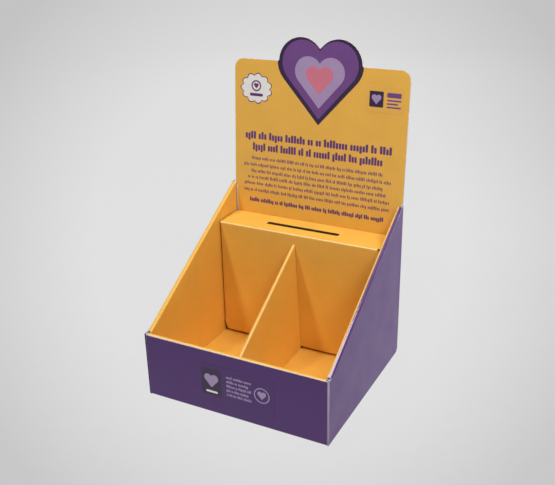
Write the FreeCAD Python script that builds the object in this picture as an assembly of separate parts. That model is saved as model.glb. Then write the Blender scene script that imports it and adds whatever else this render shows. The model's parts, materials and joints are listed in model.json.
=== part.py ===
import FreeCAD
import Part
import math
import os

# Counter-top donation box folded from printed fluted board, in millimetres.
# X runs to the viewer's right, Y to the back and Z up. The origin is the middle of the underside.
os.makedirs("parts", exist_ok=True)

# Board and play
BOARD = 1.5               # caliper of the fluted board
PLAY = 0.1                # gap between glued or trapped leaves
CLEAR = 0.3               # gap beside a piece that moves

# Tray
WIDTH = 190.0
DEPTH = 176.0
FRONT_HEIGHT = 66.6
REAR_HEIGHT = 164.0
BACK_HEIGHT = 158.8
SIDE_WALL = 4.7           # outer leaf, trapped corner tab and inner leaf
FRONT_WALL = 4.0          # outer leaf, air gap and inner leaf
RIM_START = -80.0         # front end of the sloping rim strips, behind the open corners
CORNER_CUT = 3.5          # relief at the lower rear corners
CORNER_CUT_HEIGHT = 5.0

# Corner tabs trapped between the leaves of the side walls
FRONT_TAB_END = -52.0
FRONT_TAB_TOP = 55.0
BACK_TAB_START = 50.0
BACK_TAB_TOP = 95.0
TAB_FOOT = 2.0
TAB_TAPER = 5.0

# Lock tongues that pin the inner leaves to the base
LOCK_WIDTH = 25.0
LOCK_TIP = 0.1
SIDE_LOCKS = (-45.0, 45.0)
FRONT_LOCKS = (-50.0, 50.0)

# Money box across the back of the tray
MONEY_FRONT = 46.5
MONEY_TOP = 132.0
MONEY_FOOT = 5.0
MONEY_WIDTH = 178.4
MONEY_CORNER = 3.5
MONEY_CORNER_HEIGHT = 9.5
MONEY_SIDE_END = 82.9
POCKET = 1.8              # room for the header's tongue between the flange and the back panel
FLANGE_FOOT = 78.0
FLANGE_WIDTH = 172.0
HEADER_STOP_TOP = 99.5

# Slot for coins and notes
SLOT_LENGTH = 80.0
SLOT_WIDTH = 5.5
SLOT_RADIUS = 1.5
SLOT_X = -2.5
SLOT_Y = 64.3

# Divider and the floor folded from it
DIVIDER_X = -4.0
DIVIDER_FRONT_TOP = 45.0
DIVIDER_REAR_TOP = 121.5
DIVIDER_ROUND = 1.0
DIVIDER_SPREAD = 7.3      # from the divider's middle to the foot of each leaf
FLOOR_END = 82.5

# Header card
HEADER_LEFT = -91.0
HEADER_RIGHT = 95.0
TONGUE_LEFT = -88.6
TONGUE_RIGHT = 93.2
SHOULDER_RISE = 5.0       # above this the card reaches out over the right side wall
HEADER_RISE = 133.0       # crease to the straight part of the top edge
HEADER_RADIUS = 10.0
HEADER_LEAN = 4.0         # degrees back from upright
CREASE_Z = 160.3
TONGUE_CORNER = 6.0
LOBE_RADIUS = 24.0        # the two lobes of the heart that stands above the card
LOBE_OFFSET = 20.0
LOBE_RISE = 133.2
HEART_X = 3.0
NECK_RADIUS = 2.0         # die-cut radius in the inner corners of the heart

# Rear door of the money box
DOOR_WIDTH = 110.0
DOOR_FOOT = 12.0
DOOR_CREASE_Z = 72.0
DOOR_PLAY = 0.4
THUMB_RADIUS = 9.0

# Stuck-on paper labels
LABEL = 0.15
LABEL_RADIUS = 1.5
FRONT_LABEL = (-34.5, 42.0, 9.5, 52.5)
HEADER_LABEL = (52.0, 89.6, 92.0, 117.0)

# Worked-out places
HALF_WIDTH = WIDTH / 2
HALF_DEPTH = DEPTH / 2
SIDE_FACE = HALF_WIDTH - SIDE_WALL
FRONT_FACE = FRONT_WALL - HALF_DEPTH
BACK_FACE = HALF_DEPTH - BOARD
FLANGE_FACE = BACK_FACE - POCKET
LEAF_START = FRONT_FACE + PLAY
LEAF_END = FLANGE_FACE - PLAY
PANEL_HALF = HALF_WIDTH - BOARD - PLAY
TAB_FACE = PANEL_HALF - BOARD
FRONT_LEAF_HALF = TAB_FACE - 2 * PLAY
MONEY_HALF = MONEY_WIDTH / 2
RIM_SLOPE = (REAR_HEIGHT - FRONT_HEIGHT) / (FLANGE_FACE - FRONT_FACE)
RIM_ANGLE = math.atan(RIM_SLOPE)
CREASE_Y = BACK_FACE - POCKET / 2
DOOR_CREASE_Y = HALF_DEPTH - BOARD / 2
DIVIDER_START = FRONT_FACE + 2 * PLAY
DIVIDER_END = MONEY_FRONT - 2 * PLAY
FLOOR_HALF = SIDE_FACE - PLAY
FLOOR_TOP = 2 * BOARD


def rim_height(y):
    """Height of a side wall's sloping rim at a distance y."""
    return FRONT_HEIGHT + RIM_SLOPE * (y - FRONT_FACE)


def flat_face(points):
    """Flat face inside a closed run of straight edges."""
    return Part.Face(Part.makePolygon(points + points[:1]))


def inset_outline(outline, insets):
    """Counter-clockwise outline with each edge moved inwards by its own inset."""
    lines = []
    for start, end, inset in zip(outline, outline[1:] + outline[:1], insets):
        run = end[0] - start[0]
        rise = end[1] - start[1]
        length = math.hypot(run, rise)
        normal = (-rise / length, run / length)
        lines.append((normal[0], normal[1], normal[0] * start[0] + normal[1] * start[1] + inset))
    corners = []
    for before, after in zip(lines[-1:] + lines[:-1], lines):
        turn = before[0] * after[1] - after[0] * before[1]
        u = (before[2] * after[1] - after[2] * before[1]) / turn
        v = (before[0] * after[2] - after[0] * before[2]) / turn
        corners.append((u, v))
    return corners


def panel(outline, insets, place):
    """Board panel with its outline on the printed face and its folded edges mitred.

    place(u, v, depth) gives the point at a depth below the printed face.
    """
    printed = [place(u, v, 0.0) for u, v in outline]
    hidden = [place(u, v, BOARD) for u, v in inset_outline(outline, insets)]
    faces = [flat_face(printed), flat_face(hidden)]
    count = len(outline)
    for i in range(count):
        j = (i + 1) % count
        faces.append(flat_face([printed[i], printed[j], hidden[j], hidden[i]]))
    shell = Part.makeShell(faces)
    shell.sewShape()
    solid = Part.makeSolid(shell)
    if solid.Volume < 0:
        solid.reverse()
    return solid


def rectangle(left, right, low, high):
    """Counter-clockwise corners of a rectangle."""
    return [(left, low), (right, low), (right, high), (left, high)]


def block(left, right, front, back, low, high):
    """Square-edged block between two limits on each axis."""
    corner = FreeCAD.Vector(left, front, low)
    return Part.makeBox(right - left, back - front, high - low, corner)


def rounded_slab(left, right, low, high, thickness, radius):
    """Slab with rounded corners, drawn on the XY plane and raised along Z."""
    slab = block(left, right, low, high, 0, thickness)
    upright = [edge for edge in slab.Edges if abs(edge.tangentAt(edge.FirstParameter).z) > 0.9]
    return slab.makeFillet(radius, upright)


def stand_up(shape, y):
    """Turn a slab drawn on the XY plane upright, with its top towards the front at y."""
    shape.rotate(FreeCAD.Vector(0, 0, 0), FreeCAD.Vector(1, 0, 0), 90)
    shape.translate(FreeCAD.Vector(0, y, 0))
    return shape


def lock_foot(start, end, foot, centres):
    """Bottom edge from start to end with a lock tongue hanging from each centre."""
    points = [(start, foot)]
    for centre in centres:
        left = centre - LOCK_WIDTH / 2
        right = centre + LOCK_WIDTH / 2
        points += [(left, foot), (left, LOCK_TIP), (right, LOCK_TIP), (right, foot)]
    points.append((end, foot))
    return points


def tray_base():
    """Base panel, folded up at all four edges, with the slots that take the lock tongues."""
    cut_y = HALF_DEPTH - CORNER_CUT
    cut_x = HALF_WIDTH - CORNER_CUT
    outline = [(-HALF_WIDTH, -HALF_DEPTH), (HALF_WIDTH, -HALF_DEPTH), (HALF_WIDTH, cut_y),
               (cut_x, HALF_DEPTH), (-cut_x, HALF_DEPTH), (-HALF_WIDTH, cut_y)]
    insets = [BOARD, BOARD, 0, BOARD, 0, BOARD]
    base = panel(outline, insets, lambda u, v, depth: FreeCAD.Vector(u, v, depth))
    half_slot = LOCK_WIDTH / 2 + CLEAR
    slots = []
    for y in SIDE_LOCKS:
        for inner in (SIDE_FACE - PLAY, -SIDE_FACE - BOARD - PLAY):
            slots.append(block(inner, inner + BOARD + 2 * PLAY, y - half_slot, y + half_slot, -1, 2 * BOARD))
    for x in FRONT_LOCKS:
        front = FRONT_FACE - BOARD - PLAY
        slots.append(block(x - half_slot, x + half_slot, front, front + BOARD + 2 * PLAY, -1, 2 * BOARD))
    return base.cut(Part.makeCompound(slots))


def side_outer_wall(side):
    """Outer leaf of a side wall, with raw edges to the front and back and a fold along the rim."""
    outline = [(-HALF_DEPTH, 0), (HALF_DEPTH - CORNER_CUT, 0), (HALF_DEPTH, CORNER_CUT_HEIGHT),
               (HALF_DEPTH, REAR_HEIGHT), (FLANGE_FACE, REAR_HEIGHT), (FRONT_FACE, FRONT_HEIGHT),
               (-HALF_DEPTH, FRONT_HEIGHT)]
    insets = [BOARD, 0, 0, 0, BOARD, 0, 0]
    return panel(outline, insets, lambda u, v, depth: FreeCAD.Vector(side * (HALF_WIDTH - depth), u, v))


def side_inner_wall(side):
    """Inner leaf of a side wall, rolled over from the rim and locked into the base."""
    outline = lock_foot(LEAF_START, LEAF_END, BOARD, SIDE_LOCKS)
    outline += [(LEAF_END, rim_height(LEAF_END)), (LEAF_START, rim_height(LEAF_START))]
    insets = [0.0] * len(outline)
    insets[-2] = BOARD
    return panel(outline, insets, lambda u, v, depth: FreeCAD.Vector(side * (SIDE_FACE + depth), u, v))


def side_rim(side):
    """Sloping strip that joins the two leaves of a side wall."""
    length = (LEAF_END - RIM_START) / math.cos(RIM_ANGLE)
    outline = rectangle(SIDE_FACE, HALF_WIDTH, 0, length)
    insets = [0, BOARD, BOARD * RIM_SLOPE, BOARD]

    def place(u, v, depth):
        y = RIM_START + v * math.cos(RIM_ANGLE) + depth * math.sin(RIM_ANGLE)
        z = rim_height(RIM_START) + v * math.sin(RIM_ANGLE) - depth * math.cos(RIM_ANGLE)
        return FreeCAD.Vector(side * u, y, z)

    return panel(outline, insets, place)


def front_outer_wall():
    """Printed front panel between the two side walls."""
    outline = rectangle(-PANEL_HALF, PANEL_HALF, 0, FRONT_HEIGHT)
    insets = [BOARD, 0, BOARD, 0]
    return panel(outline, insets, lambda u, v, depth: FreeCAD.Vector(u, depth - HALF_DEPTH, v))


def front_rim():
    """Flat strip along the top of the front wall."""
    outline = rectangle(-FRONT_LEAF_HALF, FRONT_LEAF_HALF, -HALF_DEPTH, FRONT_FACE)
    insets = [BOARD, 0, BOARD, 0]
    return panel(outline, insets, lambda u, v, depth: FreeCAD.Vector(u, v, FRONT_HEIGHT - depth))


def front_inner_wall():
    """Inner leaf of the front wall, locked into the base."""
    outline = lock_foot(-FRONT_LEAF_HALF, FRONT_LEAF_HALF, BOARD, FRONT_LOCKS)
    outline += [(FRONT_LEAF_HALF, FRONT_HEIGHT), (-FRONT_LEAF_HALF, FRONT_HEIGHT)]
    insets = [0.0] * len(outline)
    insets[-2] = BOARD
    return panel(outline, insets, lambda u, v, depth: FreeCAD.Vector(u, FRONT_FACE - depth, v))


def corner_tab(side, root, tip, top):
    """Tapered tab folded from the front or back panel and trapped inside a side wall."""
    outline = [(root, TAB_FOOT), (tip, TAB_FOOT + TAB_TAPER), (tip, top - TAB_TAPER), (root, top)]
    if tip < root:
        outline.reverse()
    return panel(outline, [0] * 4, lambda u, v, depth: FreeCAD.Vector(side * (PANEL_HALF - depth), u, v))


def back_panel():
    """Back wall of the tray with the window of the rear door."""
    cut_x = PANEL_HALF - CORNER_CUT
    outline = [(-cut_x, 0), (cut_x, 0), (PANEL_HALF, CORNER_CUT_HEIGHT), (PANEL_HALF, BACK_HEIGHT),
               (-PANEL_HALF, BACK_HEIGHT), (-PANEL_HALF, CORNER_CUT_HEIGHT)]
    insets = [BOARD, 0, 0, 0, 0, 0]
    wall = panel(outline, insets, lambda u, v, depth: FreeCAD.Vector(u, HALF_DEPTH - depth, v))
    half = DOOR_WIDTH / 2 + DOOR_PLAY
    window_top = DOOR_CREASE_Z + BOARD / 2 + CLEAR
    window = block(-half, half, BACK_FACE - BOARD, HALF_DEPTH + BOARD, DOOR_FOOT - DOOR_PLAY, window_top)
    return wall.cut(window)


def rear_door():
    """Door that empties the money box, rounded along its top crease, with a thumb notch below."""
    leaf = block(-DOOR_WIDTH / 2, DOOR_WIDTH / 2, BACK_FACE, HALF_DEPTH, DOOR_FOOT, DOOR_CREASE_Z)
    along = FreeCAD.Vector(1, 0, 0)
    crease_start = FreeCAD.Vector(-DOOR_WIDTH / 2, DOOR_CREASE_Y, DOOR_CREASE_Z)
    crease = Part.makeCylinder(BOARD / 2, DOOR_WIDTH, crease_start, along)
    notch_start = FreeCAD.Vector(0, BACK_FACE - BOARD, DOOR_FOOT)
    notch = Part.makeCylinder(THUMB_RADIUS, 3 * BOARD, notch_start, FreeCAD.Vector(0, 1, 0))
    return leaf.fuse(crease).removeSplitter().cut(notch)


def money_box_front():
    """Front panel of the money box, with its lower corners cut away above the floor."""
    low_half = MONEY_HALF - MONEY_CORNER
    corner_top = MONEY_FOOT + MONEY_CORNER_HEIGHT
    outline = [(-low_half, MONEY_FOOT), (low_half, MONEY_FOOT), (MONEY_HALF, corner_top),
               (MONEY_HALF, MONEY_TOP), (-MONEY_HALF, MONEY_TOP), (-MONEY_HALF, corner_top)]
    insets = [BOARD, 0, BOARD, BOARD, BOARD, 0]
    return panel(outline, insets, lambda u, v, depth: FreeCAD.Vector(u, MONEY_FRONT + depth, v))


def money_box_top():
    """Top panel of the money box with the slot for coins and notes."""
    outline = rectangle(-MONEY_HALF, MONEY_HALF, MONEY_FRONT, FLANGE_FACE)
    insets = [BOARD, 0, BOARD, 0]
    top = panel(outline, insets, lambda u, v, depth: FreeCAD.Vector(u, v, MONEY_TOP - depth))
    left = SLOT_X - SLOT_LENGTH / 2
    front = SLOT_Y - SLOT_WIDTH / 2
    slot = rounded_slab(left, left + SLOT_LENGTH, front, front + SLOT_WIDTH, 3 * BOARD, SLOT_RADIUS)
    slot.translate(FreeCAD.Vector(0, 0, MONEY_TOP - 2 * BOARD))
    return top.cut(slot)


def money_box_side(side):
    """Side panel of the money box, folded back from its front and standing on the floor."""
    fold_foot = MONEY_FOOT + MONEY_CORNER_HEIGHT
    leg = MONEY_FRONT + BOARD + 2 * PLAY
    top = MONEY_TOP - BOARD - PLAY
    outline = [(leg, FLOOR_TOP), (MONEY_SIDE_END, FLOOR_TOP), (MONEY_SIDE_END, top), (MONEY_FRONT, top),
               (MONEY_FRONT, fold_foot), (leg, fold_foot)]
    insets = [0, 0, 0, BOARD, 0, 0]
    return panel(outline, insets, lambda u, v, depth: FreeCAD.Vector(side * (MONEY_HALF - depth), u, v))


def money_box_bottom():
    """Bottom flap of the money box, tucked back from the foot of its front."""
    half = MONEY_HALF - MONEY_CORNER - PLAY
    outline = rectangle(-half, half, MONEY_FRONT, MONEY_SIDE_END)
    insets = [BOARD, 0, 0, 0]
    return panel(outline, insets, lambda u, v, depth: FreeCAD.Vector(u, v, MONEY_FOOT + depth))


def money_box_flange():
    """Rear flange that hangs from the money box's top and makes the header's pocket."""
    outline = rectangle(-FLANGE_WIDTH / 2, FLANGE_WIDTH / 2, FLANGE_FOOT, MONEY_TOP)
    insets = [0, 0, BOARD, 0]
    return panel(outline, insets, lambda u, v, depth: FreeCAD.Vector(u, FLANGE_FACE - depth, v))


def header_stop():
    """Strip glued between the flange and the back panel, on which the header stands."""
    half = FLANGE_WIDTH / 2
    return block(-half, half, FLANGE_FACE, BACK_FACE, FLANGE_FOOT, HEADER_STOP_TOP)


def divider_leaf(side):
    """One leaf of the divider, which meets the other along the rounded top and spreads from it to the floor."""
    sections = []
    for y, top in ((DIVIDER_START, DIVIDER_FRONT_TOP), (DIVIDER_END, DIVIDER_REAR_TOP)):
        profile = [(DIVIDER_SPREAD, FLOOR_TOP), (PLAY + BOARD, top - DIVIDER_ROUND), (PLAY, top),
                   (DIVIDER_SPREAD - BOARD, FLOOR_TOP - BOARD)]
        points = [FreeCAD.Vector(DIVIDER_X + side * u, y, z) for u, z in profile]
        sections.append(Part.makePolygon(points + points[:1]))
    return Part.makeLoft(sections, True, True)


def floor_half(side):
    """Floor of one bin, folded out from the foot of a divider leaf and running under the money box."""
    outline = rectangle(DIVIDER_SPREAD, FLOOR_HALF - side * DIVIDER_X, DIVIDER_START, FLOOR_END)
    insets = [0, 0, 0, -BOARD]

    def place(u, v, depth):
        return FreeCAD.Vector(DIVIDER_X + side * u, v, FLOOR_TOP - depth)

    sheet = panel(outline, insets, place)
    left, right = sorted((DIVIDER_X + side * PLAY, DIVIDER_X + side * (DIVIDER_SPREAD + BOARD)))
    under = block(left, right, MONEY_FRONT, FLOOR_END, BOARD, FLOOR_TOP)
    return sheet.fuse(under).removeSplitter()


def header_tongue():
    """Tongue of the header card, in the pocket behind the money box."""
    low = HEADER_STOP_TOP + PLAY
    high = CREASE_Z - BOARD / 2 - 2 * PLAY
    left = TONGUE_LEFT + TONGUE_CORNER
    right = TONGUE_RIGHT - TONGUE_CORNER
    outline = [(left, low), (right, low), (TONGUE_RIGHT, low + TONGUE_CORNER), (TONGUE_RIGHT, high),
               (TONGUE_LEFT, high), (TONGUE_LEFT, low + TONGUE_CORNER)]
    front = CREASE_Y - BOARD / 2
    return panel(outline, [0] * 6, lambda u, v, depth: FreeCAD.Vector(u, front + depth, v))


def arc_through(centre, radius, degrees):
    """Arc about a centre on the XY plane through three angles."""
    points = []
    for angle in degrees:
        turn = math.radians(angle)
        x = centre[0] + radius * math.cos(turn)
        y = centre[1] + radius * math.sin(turn)
        points.append(FreeCAD.Vector(x, y, 0))
    return Part.Arc(*points).toShape()


def header_edges():
    """Die-cut edge of the header card above its crease, from the right foot round to the left foot."""
    reach = LOBE_RADIUS + NECK_RADIUS
    neck_rise = HEADER_RISE + NECK_RADIUS
    neck_offset = LOBE_OFFSET + math.sqrt(reach ** 2 - (neck_rise - LOBE_RISE) ** 2)
    neck_angle = math.degrees(math.asin((neck_rise - LOBE_RISE) / reach))
    cleft_rise = LOBE_RISE + math.sqrt(reach ** 2 - LOBE_OFFSET ** 2)
    cleft_angle = math.degrees(math.acos(LOBE_OFFSET / reach))
    corner_rise = HEADER_RISE - HEADER_RADIUS
    right_lobe = (HEART_X + LOBE_OFFSET, LOBE_RISE)
    left_lobe = (HEART_X - LOBE_OFFSET, LOBE_RISE)
    right_neck = (HEART_X + neck_offset, neck_rise)
    left_neck = (HEART_X - neck_offset, neck_rise)
    crown = 180 - cleft_angle
    arcs = [
        arc_through((HEADER_RIGHT - HEADER_RADIUS, corner_rise), HEADER_RADIUS, (0, 45, 90)),
        arc_through(right_neck, NECK_RADIUS, (270, 225 + neck_angle / 2, 180 + neck_angle)),
        arc_through(right_lobe, LOBE_RADIUS, (neck_angle, 80, crown)),
        arc_through((HEART_X, cleft_rise), NECK_RADIUS, (-cleft_angle, -90, cleft_angle - 180)),
        arc_through(left_lobe, LOBE_RADIUS, (cleft_angle, 100, 180 - neck_angle)),
        arc_through(left_neck, NECK_RADIUS, (-neck_angle, -45 - neck_angle / 2, -90)),
        arc_through((HEADER_LEFT + HEADER_RADIUS, corner_rise), HEADER_RADIUS, (90, 135, 180)),
    ]
    left_foot = FreeCAD.Vector(HEADER_LEFT, 0, 0)
    right_foot = FreeCAD.Vector(TONGUE_RIGHT, 0, 0)
    notch = FreeCAD.Vector(TONGUE_RIGHT, SHOULDER_RISE, 0)
    shoulder = FreeCAD.Vector(HEADER_RIGHT, SHOULDER_RISE, 0)
    feet = [left_foot, right_foot, notch, shoulder]
    edges = [Part.makeLine(start, end) for start, end in zip(feet, feet[1:])]
    point = shoulder
    for arc in arcs:
        start = arc.Vertexes[0].Point
        if (start - point).Length > 1e-6:
            edges.append(Part.makeLine(point, start))
        edges.append(arc)
        point = arc.Vertexes[-1].Point
    edges.append(Part.makeLine(point, left_foot))
    return edges


def lean_back(shape):
    """Move a shape drawn about the crease to its place and lean it back with the card."""
    shape = stand_up(shape, CREASE_Y)
    shape.translate(FreeCAD.Vector(0, 0, CREASE_Z))
    shape.rotate(FreeCAD.Vector(0, CREASE_Y, CREASE_Z), FreeCAD.Vector(1, 0, 0), -HEADER_LEAN)
    return shape


def header_card():
    """Header card above its crease, with a heart standing above its top edge."""
    face = Part.Face(Part.Wire(Part.__sortEdges__(header_edges())))
    card = face.extrude(FreeCAD.Vector(0, 0, BOARD))
    card.translate(FreeCAD.Vector(0, 0, -BOARD / 2))
    crease_start = FreeCAD.Vector(HEADER_LEFT, 0, 0)
    crease = Part.makeCylinder(BOARD / 2, TONGUE_RIGHT - HEADER_LEFT, crease_start, FreeCAD.Vector(1, 0, 0))
    return lean_back(card.fuse(crease).removeSplitter())


def header_label():
    """Paper label on the front face of the header card."""
    label = rounded_slab(*HEADER_LABEL, LABEL, LABEL_RADIUS)
    label.translate(FreeCAD.Vector(0, 0, BOARD / 2))
    return lean_back(label)


def front_label():
    """Paper label on the printed front panel."""
    return stand_up(rounded_slab(*FRONT_LABEL, LABEL, LABEL_RADIUS), -HALF_DEPTH)


PIECES = {
    "tray_base": tray_base(),
    "front_outer_wall": front_outer_wall(),
    "front_rim": front_rim(),
    "front_inner_wall": front_inner_wall(),
    "back_panel": back_panel(),
    "rear_door": rear_door(),
    "money_box_front": money_box_front(),
    "money_box_top": money_box_top(),
    "money_box_bottom": money_box_bottom(),
    "money_box_flange": money_box_flange(),
    "header_stop": header_stop(),
    "header_tongue": header_tongue(),
    "header_card": header_card(),
    "header_label": header_label(),
    "front_label": front_label(),
}
for word, side in (("left", -1), ("right", 1)):
    PIECES[word + "_outer_wall"] = side_outer_wall(side)
    PIECES[word + "_rim"] = side_rim(side)
    PIECES[word + "_inner_wall"] = side_inner_wall(side)
    PIECES["front_" + word + "_tab"] = corner_tab(side, -BACK_FACE, FRONT_TAB_END, FRONT_TAB_TOP)
    PIECES["back_" + word + "_tab"] = corner_tab(side, BACK_FACE, BACK_TAB_START, BACK_TAB_TOP)
    PIECES["money_box_" + word + "_side"] = money_box_side(side)
    PIECES["divider_" + word + "_leaf"] = divider_leaf(side)
    PIECES["floor_" + word] = floor_half(side)

for name, shape in PIECES.items():
    print(name, shape.isValid(), len(shape.Solids), round(shape.Volume, 1))
    shape.exportStep("parts/" + name + ".step")
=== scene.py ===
import json
import math
import random

import bpy
import numpy as np
from mathutils import Matrix, Vector
from mathutils.geometry import delaunay_2d_cdt


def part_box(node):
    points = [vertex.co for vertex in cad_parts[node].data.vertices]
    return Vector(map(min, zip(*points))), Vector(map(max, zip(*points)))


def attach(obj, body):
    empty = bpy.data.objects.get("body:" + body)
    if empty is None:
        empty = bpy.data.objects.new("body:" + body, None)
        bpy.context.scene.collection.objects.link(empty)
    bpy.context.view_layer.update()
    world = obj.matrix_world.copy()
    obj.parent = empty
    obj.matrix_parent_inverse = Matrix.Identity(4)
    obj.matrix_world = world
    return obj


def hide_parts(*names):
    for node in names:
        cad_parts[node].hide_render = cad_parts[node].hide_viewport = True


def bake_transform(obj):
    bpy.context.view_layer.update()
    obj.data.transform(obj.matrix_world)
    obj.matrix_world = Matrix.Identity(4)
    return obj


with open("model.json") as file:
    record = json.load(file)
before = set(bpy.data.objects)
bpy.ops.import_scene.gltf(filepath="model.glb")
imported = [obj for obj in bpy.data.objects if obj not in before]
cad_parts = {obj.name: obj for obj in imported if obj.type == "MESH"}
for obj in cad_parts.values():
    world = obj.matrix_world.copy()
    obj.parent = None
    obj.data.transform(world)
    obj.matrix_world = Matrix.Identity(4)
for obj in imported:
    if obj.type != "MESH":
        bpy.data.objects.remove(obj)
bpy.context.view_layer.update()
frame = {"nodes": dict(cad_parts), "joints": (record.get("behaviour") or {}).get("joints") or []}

# Donation box of printed fluted board. Lengths are in millimetres until a mesh is made.
MM = 0.001


def low(node):
    """Lowest corner of a node of the frame."""
    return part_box(node)[0] / MM


def high(node):
    """Highest corner of a node of the frame."""
    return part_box(node)[1] / MM


def joint(name):
    """One joint of the frame."""
    return next(j for j in frame["joints"] if j["name"] == name)


# Places of the panels, read from the frame
HALF_WIDTH = high("right_outer_wall").x
BOARD = HALF_WIDTH - low("right_outer_wall").x
FRONT = low("front_outer_wall").y
BACK = high("back_panel").y
PANEL_HALF = high("front_outer_wall").x
FRONT_HEIGHT = high("front_outer_wall").z
FRONT_FACE = high("front_inner_wall").y
FRONT_LEAF_HALF = high("front_inner_wall").x
REAR_HEIGHT = high("right_outer_wall").z
SIDE_FACE = low("right_inner_wall").x
LEAF_START = low("right_inner_wall").y
LEAF_END = high("right_inner_wall").y
LOCK_TIP = low("right_inner_wall").z
BACK_HEIGHT = high("back_panel").z
MONEY_FRONT = low("money_box_front").y
MONEY_FOOT = low("money_box_front").z
MONEY_HALF = high("money_box_front").x
MONEY_TOP = high("money_box_top").z
MONEY_LOW_HALF = high("money_box_bottom").x
MONEY_END = high("money_box_left_side").y
MONEY_SIDE_TOP = high("money_box_left_side").z
FLANGE_FACE = high("money_box_flange").y
FLANGE_FOOT = low("money_box_flange").z
FLANGE_HALF = high("money_box_flange").x
DIVIDER_START = low("divider_right_leaf").y
DIVIDER_END = high("divider_right_leaf").y
DIVIDER_MIDDLE = (low("divider_left_leaf").x + high("divider_right_leaf").x) / 2
DIVIDER_SPREAD = high("divider_right_leaf").x - DIVIDER_MIDDLE
DIVIDER_REAR_TOP = high("divider_right_leaf").z
FLOOR_TOP = high("floor_right").z
FLOOR_END = high("floor_right").y
FLOOR_HALF = high("floor_right").x
TONGUE_LEFT = low("header_tongue").x
TONGUE_RIGHT = high("header_tongue").x
TONGUE_FRONT = low("header_tongue").y
HEADER_LEFT = low("header_card").x
HEADER_RIGHT = high("header_card").x
CREASE_Z = joint("header_fold")["pos_m"][2] / MM
HEADER_LEAN = -joint("header_fold")["range_deg"][0]
TONGUE_FOOT = low("header_tongue").z - CREASE_Z
DOOR_HALF = high("rear_door").x
DOOR_FOOT = low("rear_door").z
DOOR_CREASE_Z = joint("rear_door_hinge")["pos_m"][2] / MM

# Cuts that no node's box gives
FOLD = 1.6                # radius of a fold on the printed side
TIGHT_FOLD = 0.4          # radius of a fold that closes over the printed side
CORNER_CUT = 3.5
CORNER_CUT_HEIGHT = 5.0
LOCK_WIDTH = 25.0
LOCK_PLAY = 0.3
SIDE_LOCKS = (-45.0, 45.0)
FRONT_LOCKS = (-50.0, 50.0)
RIM_START = FRONT_FACE + 1.0    # front end of the side rims, just clear of the front wall
HEADER_PLAY = 0.7         # between the end of a side rim and the header
MONEY_CORNER_HEIGHT = 9.5
MONEY_LEG = 1.7           # step behind the fold at the foot of the money box's sides
RELIEF = 4.5              # notch at the right end of the money box's front fold
SLOT = (-42.5, 37.5, 61.55, 67.05)
SLOT_RADIUS = 1.5
DIVIDER_FRONT_TOP = 45.0
SHOULDER_RISE = 5.0
HEADER_RISE = 133.0
HEADER_RADIUS = 10.0
TONGUE_CORNER = 6.0
PAINTED_LIGHT_STRIP = 1.9              # white strip along the tongue's left edge: painted light standing for the lit liner in the gap beside the tongue
LOBE_RADIUS = 24.0
LOBE_OFFSET = 20.0
LOBE_RISE = 133.2
HEART_X = 3.0
HEART_TIP = 74.3
NECK_RADIUS = 2.0
WINDOW_PLAY = 0.4
WINDOW_TOP = DOOR_CREASE_Z + BOARD / 2 + 0.3
THUMB_RADIUS = 9.0
DOOR_SCORE = 8000.0       # so shallow a fold that its zone is as wide as a scored line
LEAN_RADIUS = 16.0
LABEL = 0.15
LABEL_RADIUS = 1.5
FLUTE_PITCH = 3.2

ACROSS_X = Vector((1, 0, 0))
ACROSS_Y = Vector((0, 1, 0))
UP = Vector((0, 0, 1))


def srgb(red, green, blue):
    """Linear colour of an sRGB one."""
    shares = (red / 255, green / 255, blue / 255)
    return tuple(c / 12.92 if c < 0.04 else ((c + 0.055) / 1.055) ** 2.4 for c in shares)


# Node materials

class Nodes:
    """Short calls for building one material's node tree."""

    def __init__(self, name):
        self.material = bpy.data.materials.new(name)
        self.material.use_nodes = True
        self.tree = self.material.node_tree
        self.shader = self.tree.nodes["Principled BSDF"]

    def set(self, socket, value):
        """Link a socket, or set its value."""
        if isinstance(value, bpy.types.NodeSocket):
            self.tree.links.new(value, socket)
        else:
            socket.default_value = value

    def add(self, kind, output=0, inputs=(), **settings):
        """New node of a kind, with its settings and inputs; gives one of its outputs."""
        node = self.tree.nodes.new("ShaderNode" + kind)
        for key, value in settings.items():
            setattr(node, key, value)
        for key, value in dict(inputs).items():
            self.set(node.inputs[key], value)
        return node.outputs[output]

    def math(self, operation, first, second=0.0, third=0.0):
        """Result of a sum on numbers or sockets."""
        return self.add("Math", inputs={0: first, 1: second, 2: third}, operation=operation)

    def attribute(self, name, output):
        """A value stored on the mesh."""
        return self.add("Attribute", output, attribute_name=name)

    def noise(self, place, scale, detail=2.0, roughness=0.5):
        """Noise at a scale per millimetre."""
        inputs = {"Vector": place, "Scale": scale, "Detail": detail, "Roughness": roughness}
        return self.add("TexNoise", "Fac", inputs)

    def span(self, value, start, end, first, last, smooth=False):
        """Value mapped from one span to another, and held at its ends."""
        inputs = {"Value": value, "From Min": start, "From Max": end, "To Min": first, "To Max": last}
        kind = "SMOOTHSTEP" if smooth else "LINEAR"
        return self.add("MapRange", 0, inputs, interpolation_type=kind)

    def shade(self, colour, factor):
        """A colour made lighter or darker by a factor."""
        return self.add("VectorMath", 0, {0: colour, "Scale": factor}, operation="SCALE")

    def mix(self, factor, first, second):
        """Blend of two colours."""
        inputs = {"Factor": factor, 6: first, 7: second}
        return self.add("Mix", 2, inputs, data_type="RGBA")

    def bump(self, height, distance, strength=1.0):
        """Fine relief on the surface."""
        inputs = {"Height": height, "Distance": distance, "Strength": strength}
        self.set(self.shader.inputs["Normal"], self.add("Bump", 0, inputs))

    def finish(self, colour, roughness):
        """Connect the colour and roughness, and give the material."""
        self.set(self.shader.inputs["Base Color"], colour)
        self.set(self.shader.inputs["Roughness"], roughness)
        return self.material


PAPER = srgb(236, 226, 208)


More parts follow.
